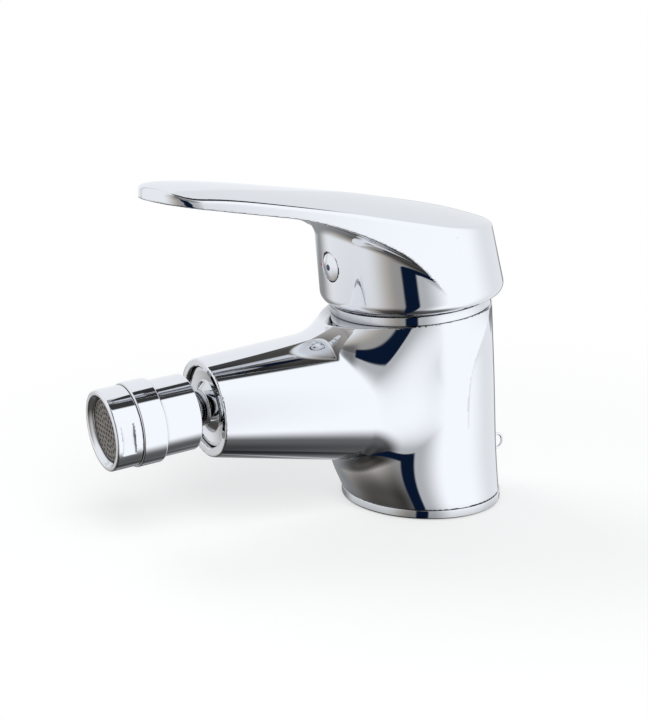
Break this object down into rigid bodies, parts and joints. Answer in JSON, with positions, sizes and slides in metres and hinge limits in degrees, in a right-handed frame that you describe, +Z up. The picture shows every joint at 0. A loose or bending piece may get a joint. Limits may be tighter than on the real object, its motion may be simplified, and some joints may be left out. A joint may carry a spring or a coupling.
{
  "type": "bidet mixer",
  "caption": "Chrome single-lever deck bidet mixer with a leaning barrel body, a short tapered spout, a ball-jointed swivel aerator and a rear chain eyelet.",
  "frame": {"origin": "centre of the machined underside that sits on the deck", "axes": "+Z up, away from the deck; -Y the way the spout and the lever point; +X to the right of someone who looks along +Y"},
  "size_m": [0.0578, 0.1458, 0.1067],
  "materials": {
    "chrome_plate": "polished bright chromium plate over brass",
    "raw_brass": "machined brass, bare",
    "stainless": "drawn stainless steel",
    "black_rubber": "moulded black rubber",
    "white_acetal": "moulded acetal, satin",
    "grey_acetal": "moulded acetal, grey",
    "ceramic": "lapped alumina ceramic",
    "blue_enamel": "blue enamel",
    "red_enamel": "red enamel"
  },
  "bodies": {
    "base": {"body_casting": "chrome_plate", "base_ring": "chrome_plate", "base_gasket": "black_rubber", "chain_eyelet": "chrome_plate", "cartridge_base": "white_acetal", "port_seals": "black_rubber", "fixed_disc": "ceramic", "cartridge_shell": "white_acetal", "retaining_nut": "raw_brass", "cover_ring": "chrome_plate", "ball_nipple": "chrome_plate", "nipple_gasket": "black_rubber"},
    "turning": {"spindle_guide": "white_acetal", "pivot_pin": "stainless"},
    "lever": {"lever_handle": "chrome_plate", "spindle": "raw_brass", "set_screw": "stainless", "index_button": "chrome_plate", "blue_mark": "blue_enamel", "red_mark": "red_enamel"},
    "disc": {"disc_carrier": "white_acetal", "moving_disc": "ceramic"},
    "liner": {"ball_liner": "white_acetal"},
    "seal": {"ball_seal": "black_rubber"},
    "nozzle": {"swivel_collar": "chrome_plate", "swivel_shell": "chrome_plate", "aerator_gasket": "black_rubber", "aerator_housing": "chrome_plate", "aerator_insert": "grey_acetal", "flow_screen": "stainless"}
  },
  "joints": [
    {"name": "lever_turn", "type": "hinge", "parent": "base", "child": "turning", "pos_m": [0, 0, 0], "axis": [0, -0.108, 0.9942], "range_deg": [-50, 50]},
    {"name": "lever_lift", "type": "hinge", "parent": "turning", "child": "lever", "pos_m": [0, -0.00713, 0.06561], "axis": [-1, 0, 0], "range_deg": [0, 22]},
    {"name": "disc_slide", "type": "slide", "parent": "turning", "child": "disc", "axis": [0, -0.9942, -0.108], "range_m": [0, 0.0044]},
    {"name": "aerator_pitch", "type": "hinge", "parent": "base", "child": "liner", "pos_m": [0, -0.09125, 0.03799], "axis": [1, 0, 0], "range_deg": [-15, 15]},
    {"name": "aerator_yaw", "type": "hinge", "parent": "liner", "child": "seal", "pos_m": [0, -0.09125, 0.03799], "axis": [0, -0.0941, 0.9956], "range_deg": [-15, 15]},
    {"name": "aerator_spin", "type": "hinge", "parent": "seal", "child": "nozzle", "pos_m": [0, -0.09125, 0.03799], "axis": [0, -0.9956, -0.0941], "continuous": true}
  ],
  "couplings": [
    {"joint": "disc_slide", "follows": "lever_lift", "m_per_rad": 0.011219}
  ]
}
